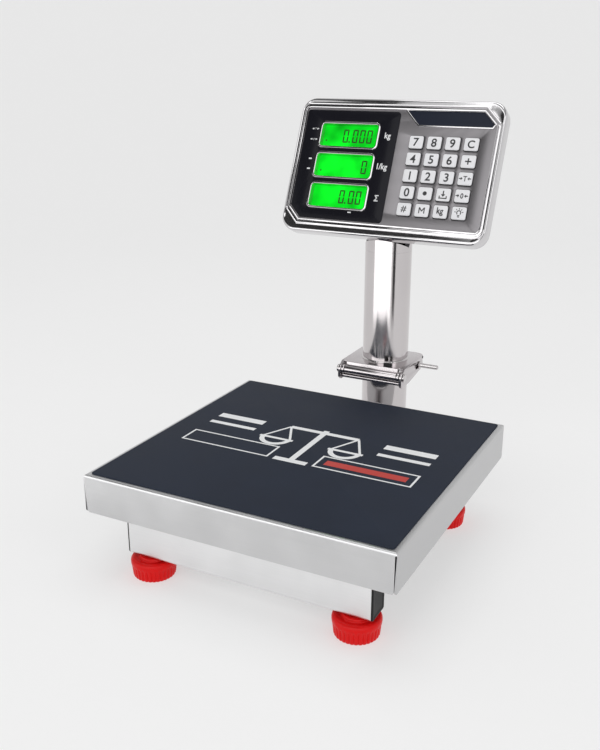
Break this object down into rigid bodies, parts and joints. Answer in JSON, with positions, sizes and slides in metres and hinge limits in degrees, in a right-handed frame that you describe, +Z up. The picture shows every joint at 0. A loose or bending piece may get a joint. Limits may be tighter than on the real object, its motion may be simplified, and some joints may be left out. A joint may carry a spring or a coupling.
{
  "type": "retail price scale",
  "caption": "Price-computing platform scale: steel tray on a base with levelling feet, and a fold-down post with a turning display and keypad head.",
  "frame": {"origin": "on the floor under the feet, below the centre of the whole scale's bounding box", "axes": "+Z up; +Y from the front edge of the platform towards the post; +X to the right as seen from the front, across the platform's 300 mm width"},
  "size_m": [0.3, 0.3868, 0.4145],
  "materials": {
    "frame_steel": "brushed stainless tube",
    "tray_steel": "fine brushed stainless sheet",
    "inner_steel": "zinc-plated steel",
    "post_steel": "polished stainless tube",
    "bracket_steel": "polished pressed stainless",
    "bright_steel": "bright bar",
    "zinc_steel": "zinc-plated",
    "cell_aluminium": "machined",
    "chrome_trim": "chrome-plated plastic, bright",
    "plug_plastic": "black moulded",
    "pad_rubber": "matt black",
    "foot_red": "glossy red",
    "mat_sheet": "matt dark blue-grey, fine grain",
    "shell_plastic": "silver-grey moulded, fine texture",
    "panel_silver": "brushed silver overlay",
    "display_black": "black acrylic",
    "lcd_green": "backlit green liquid crystal",
    "nameplate_blue": "dark blue, blank",
    "key_silver": "pale silver, printed",
    "keypad_rubber": "translucent grey silicone",
    "board_green": "solder-masked board",
    "battery_case": "sealed cell, black case",
    "rocker_black": "black"
  },
  "bodies": {
    "base": {"front_cross_tube": "frame_steel", "rear_cross_tube": "frame_steel", "spine_beam": "frame_steel", "tube_end_plugs": "plug_plastic", "load_cell": "cell_aluminium", "load_cell_bolts": "zinc_steel", "platform_plate": "inner_steel", "platform_bar_front": "inner_steel", "platform_bar_rear": "inner_steel", "platform_pads": "pad_rubber", "post_arm": "frame_steel", "lower_post": "post_steel", "lower_hinge_bracket": "bracket_steel", "hinge_pin": "bright_steel"},
    "tray": {"platform_tray": "tray_steel", "platform_mat": "mat_sheet"},
    "post": {"upper_hinge_bracket": "bracket_steel", "upper_post": "post_steel"},
    "latch": {"latch_rod": "bright_steel"},
    "head": {"neck_bracket": "post_steel", "head_bezel": "chrome_trim", "head_rear_shell": "shell_plastic", "head_screws": "zinc_steel", "keypad_panel": "panel_silver", "display_panel": "display_black", "window_frames": "chrome_trim", "lcd_modules": "lcd_green", "nameplate": "nameplate_blue", "keypad_mat": "keypad_rubber", "main_board": "board_green", "battery": "battery_case"},
    "power_switch": {"power_rocker": "rocker_black"},
    "front_left_stud": {"front_left_stud": "zinc_steel"},
    "front_left_foot": {"front_left_foot": "foot_red"},
    "front_right_stud": {"front_right_stud": "zinc_steel"},
    "front_right_foot": {"front_right_foot": "foot_red"},
    "rear_left_stud": {"rear_left_stud": "zinc_steel"},
    "rear_left_foot": {"rear_left_foot": "foot_red"},
    "rear_right_stud": {"rear_right_stud": "zinc_steel"},
    "rear_right_foot": {"rear_right_foot": "foot_red"},
    "key_7": {"key_7": "key_silver"},
    "key_8": {"key_8": "key_silver"},
    "key_9": {"key_9": "key_silver"},
    "key_clear": {"key_clear": "key_silver"},
    "key_4": {"key_4": "key_silver"},
    "key_5": {"key_5": "key_silver"},
    "key_6": {"key_6": "key_silver"},
    "key_add": {"key_add": "key_silver"},
    "key_1": {"key_1": "key_silver"},
    "key_2": {"key_2": "key_silver"},
    "key_3": {"key_3": "key_silver"},
    "key_tare": {"key_tare": "key_silver"},
    "key_0": {"key_0": "key_silver"},
    "key_point": {"key_point": "key_silver"},
    "key_store": {"key_store": "key_silver"},
    "key_set_zero": {"key_set_zero": "key_silver"},
    "key_count": {"key_count": "key_silver"},
    "key_memory": {"key_memory": "key_silver"},
    "key_unit": {"key_unit": "key_silver"},
    "key_light": {"key_light": "key_silver"}
  },
  "joints": [
    {"name": "tray_lift", "type": "slide", "parent": "base", "child": "tray", "axis": [0, 0, 1], "range_m": [0, 0.06]},
    {"name": "post_fold", "type": "hinge", "parent": "base", "child": "post", "pos_m": [0, 0.1031, 0.1339], "axis": [-1, 0, 0], "range_deg": [-90, 0]},
    {"name": "latch_slide", "type": "slide", "parent": "post", "child": "latch", "axis": [0, -1, 0], "range_m": [0, 0.008]},
    {"name": "head_turn", "type": "hinge", "parent": "post", "child": "head", "pos_m": [0, 0.1424, 0.2623], "axis": [0, 0, 1], "range_deg": [0, 180]},
    {"name": "power_switch_rock", "type": "hinge", "parent": "head", "child": "power_switch", "pos_m": [0.08, 0.15242, 0.30807], "axis": [1, 0, 0], "range_deg": [0, 14]},
    {"name": "front_left_stud_travel", "type": "slide", "parent": "base", "child": "front_left_stud", "axis": [0, 0, 1], "range_m": [-0.006, 0.0015]},
    {"name": "front_left_foot_turn", "type": "hinge", "parent": "front_left_stud", "child": "front_left_foot", "pos_m": [-0.1034, -0.1589, 0.01], "axis": [0, 0, 1], "range_deg": [-1445, 365]},
    {"name": "front_right_stud_travel", "type": "slide", "parent": "base", "child": "front_right_stud", "axis": [0, 0, 1], "range_m": [-0.006, 0.0015]},
    {"name": "front_right_foot_turn", "type": "hinge", "parent": "front_right_stud", "child": "front_right_foot", "pos_m": [0.1034, -0.1589, 0.01], "axis": [0, 0, 1], "range_deg": [-1445, 365]},
    {"name": "rear_left_stud_travel", "type": "slide", "parent": "base", "child": "rear_left_stud", "axis": [0, 0, 1], "range_m": [-0.006, 0.0015]},
    {"name": "rear_left_foot_turn", "type": "hinge", "parent": "rear_left_stud", "child": "rear_left_foot", "pos_m": [-0.1034, 0.0621, 0.01], "axis": [0, 0, 1], "range_deg": [-1445, 365]},
    {"name": "rear_right_stud_travel", "type": "slide", "parent": "base", "child": "rear_right_stud", "axis": [0, 0, 1], "range_m": [-0.006, 0.0015]},
    {"name": "rear_right_foot_turn", "type": "hinge", "parent": "rear_right_stud", "child": "rear_right_foot", "pos_m": [0.1034, 0.0621, 0.01], "axis": [0, 0, 1], "range_deg": [-1445, 365]},
    {"name": "key_7_press", "type": "slide", "parent": "head", "child": "key_7", "axis": [0, 0.9153, -0.4027], "range_m": [0, 0.0012], "stiffness_N_per_m": 400, "springref_m": -0.0008},
    {"name": "key_8_press", "type": "slide", "parent": "head", "child": "key_8", "axis": [0, 0.9153, -0.4027], "range_m": [0, 0.0012], "stiffness_N_per_m": 400, "springref_m": -0.0008},
    {"name": "key_9_press", "type": "slide", "parent": "head", "child": "key_9", "axis": [0, 0.9153, -0.4027], "range_m": [0, 0.0012], "stiffness_N_per_m": 400, "springref_m": -0.0008},
    {"name": "key_clear_press", "type": "slide", "parent": "head", "child": "key_clear", "axis": [0, 0.9153, -0.4027], "range_m": [0, 0.0012], "stiffness_N_per_m": 400, "springref_m": -0.0008},
    {"name": "key_4_press", "type": "slide", "parent": "head", "child": "key_4", "axis": [0, 0.9153, -0.4027], "range_m": [0, 0.0012], "stiffness_N_per_m": 400, "springref_m": -0.0008},
    {"name": "key_5_press", "type": "slide", "parent": "head", "child": "key_5", "axis": [0, 0.9153, -0.4027], "range_m": [0, 0.0012], "stiffness_N_per_m": 400, "springref_m": -0.0008},
    {"name": "key_6_press", "type": "slide", "parent": "head", "child": "key_6", "axis": [0, 0.9153, -0.4027], "range_m": [0, 0.0012], "stiffness_N_per_m": 400, "springref_m": -0.0008},
    {"name": "key_add_press", "type": "slide", "parent": "head", "child": "key_add", "axis": [0, 0.9153, -0.4027], "range_m": [0, 0.0012], "stiffness_N_per_m": 400, "springref_m": -0.0008},
    {"name": "key_1_press", "type": "slide", "parent": "head", "child": "key_1", "axis": [0, 0.9153, -0.4027], "range_m": [0, 0.0012], "stiffness_N_per_m": 400, "springref_m": -0.0008},
    {"name": "key_2_press", "type": "slide", "parent": "head", "child": "key_2", "axis": [0, 0.9153, -0.4027], "range_m": [0, 0.0012], "stiffness_N_per_m": 400, "springref_m": -0.0008},
    {"name": "key_3_press", "type": "slide", "parent": "head", "child": "key_3", "axis": [0, 0.9153, -0.4027], "range_m": [0, 0.0012], "stiffness_N_per_m": 400, "springref_m": -0.0008},
    {"name": "key_tare_press", "type": "slide", "parent": "head", "child": "key_tare", "axis": [0, 0.9153, -0.4027], "range_m": [0, 0.0012], "stiffness_N_per_m": 400, "springref_m": -0.0008},
    {"name": "key_0_press", "type": "slide", "parent": "head", "child": "key_0", "axis": [0, 0.9153, -0.4027], "range_m": [0, 0.0012], "stiffness_N_per_m": 400, "springref_m": -0.0008},
    {"name": "key_point_press", "type": "slide", "parent": "head", "child": "key_point", "axis": [0, 0.9153, -0.4027], "range_m": [0, 0.0012], "stiffness_N_per_m": 400, "springref_m": -0.0008},
    {"name": "key_store_press", "type": "slide", "parent": "head", "child": "key_store", "axis": [0, 0.9153, -0.4027], "range_m": [0, 0.0012], "stiffness_N_per_m": 400, "springref_m": -0.0008},
    {"name": "key_set_zero_press", "type": "slide", "parent": "head", "child": "key_set_zero", "axis": [0, 0.9153, -0.4027], "range_m": [0, 0.0012], "stiffness_N_per_m": 400, "springref_m": -0.0008},
    {"name": "key_count_press", "type": "slide", "parent": "head", "child": "key_count", "axis": [0, 0.9153, -0.4027], "range_m": [0, 0.0012], "stiffness_N_per_m": 400, "springref_m": -0.0008},
    {"name": "key_memory_press", "type": "slide", "parent": "head", "child": "key_memory", "axis": [0, 0.9153, -0.4027], "range_m": [0, 0.0012], "stiffness_N_per_m": 400, "springref_m": -0.0008},
    {"name": "key_unit_press", "type": "slide", "parent": "head", "child": "key_unit", "axis": [0, 0.9153, -0.4027], "range_m": [0, 0.0012], "stiffness_N_per_m": 400, "springref_m": -0.0008},
    {"name": "key_light_press", "type": "slide", "parent": "head", "child": "key_light", "axis": [0, 0.9153, -0.4027], "range_m": [0, 0.0012], "stiffness_N_per_m": 400, "springref_m": -0.0008}
  ],
  "couplings": [
    {"joint": "front_left_foot_turn", "follows": "front_left_stud_travel", "rad_per_m": 4188.8},
    {"joint": "front_right_foot_turn", "follows": "front_right_stud_travel", "rad_per_m": 4188.8},
    {"joint": "rear_left_foot_turn", "follows": "rear_left_stud_travel", "rad_per_m": 4188.8},
    {"joint": "rear_right_foot_turn", "follows": "rear_right_stud_travel", "rad_per_m": 4188.8}
  ]
}
